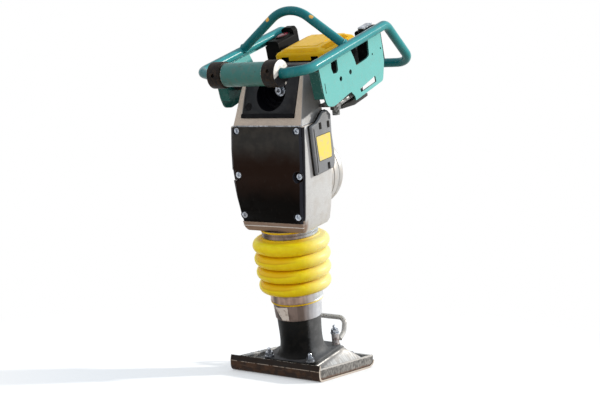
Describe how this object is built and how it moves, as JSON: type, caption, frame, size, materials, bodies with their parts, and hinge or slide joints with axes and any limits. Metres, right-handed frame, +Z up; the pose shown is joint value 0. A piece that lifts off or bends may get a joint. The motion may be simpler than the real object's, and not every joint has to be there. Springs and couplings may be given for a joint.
{
  "type": "tamping rammer",
  "caption": "Battery tamping rammer: flat steel shoe on a leaning ram leg with ribbed bellows, crankcase with motor drum, and an isolated tubular handle frame.",
  "frame": {"origin": "centre of the sole's flat underside, on the ground", "axes": "+Z up, -Y towards the front that the machine travels to, X across, with the machine symmetric about X = 0 apart from small parts"},
  "size_m": [0.3558, 0.614, 0.9665],
  "materials": {
    "teal_paint": "gloss enamel",
    "cast_alloy": "sand cast, matt",
    "black_cover": "moulded, satin",
    "black_paint": "black paint",
    "steel": "turned",
    "zinc": "zinc plated",
    "spring_steel": "oiled",
    "sole_steel": "worn brown steel",
    "shoe_damper": "rough laminate",
    "saddle_cast": "bead blasted",
    "loop_paint": "grey paint",
    "bellows_rubber": "smooth moulded",
    "black_rubber": "matt",
    "grey_plastic": "grained",
    "copper": "wound",
    "amber_plastic": "satin",
    "red_plastic": "clear"
  },
  "bodies": {
    "foot": {"shoe_plate": "sole_steel", "shoe_block": "shoe_damper", "shoe_saddle": "saddle_cast", "leg_foot": "black_paint", "leg_tube": "steel", "leg_band": "steel", "bellows_clamp": "zinc", "flange_bolt_front_left": "zinc", "flange_bolt_front_right": "zinc", "flange_bolt_rear_left": "zinc", "flange_bolt_rear_right": "zinc", "foot_loop": "loop_paint", "ram_spring_lower": "spring_steel", "ram_spring_upper": "spring_steel"},
    "machine": {"bellows": "bellows_rubber", "bellows_collar": "steel", "guide_cylinder": "steel", "guide_piston": "steel", "crankcase": "cast_alloy", "front_cover": "black_cover", "cover_screw_top_left": "zinc", "cover_screw_top_right": "zinc", "cover_screw_middle_left": "zinc", "cover_screw_middle_right": "zinc", "cover_screw_low_left": "zinc", "cover_screw_low_right": "zinc", "upper_casing": "cast_alloy", "front_panel": "black_cover", "panel_bolt": "zinc", "side_cover": "grey_plastic", "side_cover_gasket": "black_rubber", "motor_housing": "cast_alloy", "motor_end_cap": "cast_alloy", "motor_stator": "copper", "crank_bearing": "zinc", "frame_buffer_left": "black_rubber", "frame_buffer_right": "black_rubber", "mount_arm_left": "cast_alloy", "mount_arm_right": "cast_alloy"},
    "crank": {"crank_gear": "steel"},
    "rotor_body": {"rotor": "steel"},
    "rod": {"connecting_rod": "steel", "wrist_pin": "zinc"},
    "handle_frame": {"handle_rail": "teal_paint", "lifting_bow": "teal_paint", "side_plate_left": "teal_paint", "side_plate_right": "teal_paint", "roller_collar_left": "black_rubber", "roller_collar_right": "black_rubber", "battery_tray": "black_cover", "tray_beam_left": "black_cover", "tray_beam_right": "black_cover", "switch_box": "black_cover", "lock_box": "black_cover"},
    "roller": {"roller_tube": "teal_paint"},
    "battery": {"battery_case": "black_cover", "battery_lid": "amber_plastic"},
    "latch": {"battery_latch": "zinc"},
    "button": {"power_button": "red_plastic"}
  },
  "joints": [
    {"name": "ram_slide", "type": "slide", "parent": "foot", "child": "machine", "axis": [0, -0.225, 0.9744], "range_m": [-0.03, 0.03], "stiffness_N_per_m": 26000, "springref_m": 0.018, "deforming": ["bellows", "ram_spring_lower", "ram_spring_upper"]},
    {"name": "crank_spin", "type": "hinge", "parent": "machine", "child": "crank", "pos_m": [0, -0.12963, 0.58316], "axis": [0, 0.9744, 0.225], "continuous": true},
    {"name": "rotor_spin", "type": "hinge", "parent": "machine", "child": "rotor_body", "pos_m": [0, -0.11332, 0.51252], "axis": [0, 0.9744, 0.225], "continuous": true},
    {"name": "rod_swing", "type": "hinge", "parent": "crank", "child": "rod", "pos_m": [0, -0.12468, 0.56172], "axis": [0, 0.9744, 0.225], "continuous": true},
    {"name": "frame_rock", "type": "hinge", "parent": "machine", "child": "handle_frame", "pos_m": [0, -0.12542, 0.76938], "axis": [1, 0, 0], "range_deg": [-2, 2], "stiffness_Nm_per_rad": 2600},
    {"name": "roller_spin", "type": "hinge", "parent": "handle_frame", "child": "roller", "pos_m": [0, -0.28998, 0.77521], "axis": [1, 0, 0], "continuous": true},
    {"name": "battery_lift", "type": "slide", "parent": "handle_frame", "child": "battery", "axis": [0, -0.225, 0.9744], "range_m": [0, 0.18]},
    {"name": "latch_flip", "type": "hinge", "parent": "handle_frame", "child": "latch", "pos_m": [0.131, 0.04452, 0.92012], "axis": [1, 0, 0], "range_deg": [0, 75]},
    {"name": "button_press", "type": "slide", "parent": "handle_frame", "child": "button", "axis": [0, 0.3722, -0.9282], "range_m": [0, 0.003], "stiffness_N_per_m": 600}
  ],
  "couplings": [
    {"joint": "rotor_spin", "follows": "crank_spin", "ratio": -4},
    {"joint": "rod_swing", "follows": "crank_spin", "ratio": -1}
  ]
}
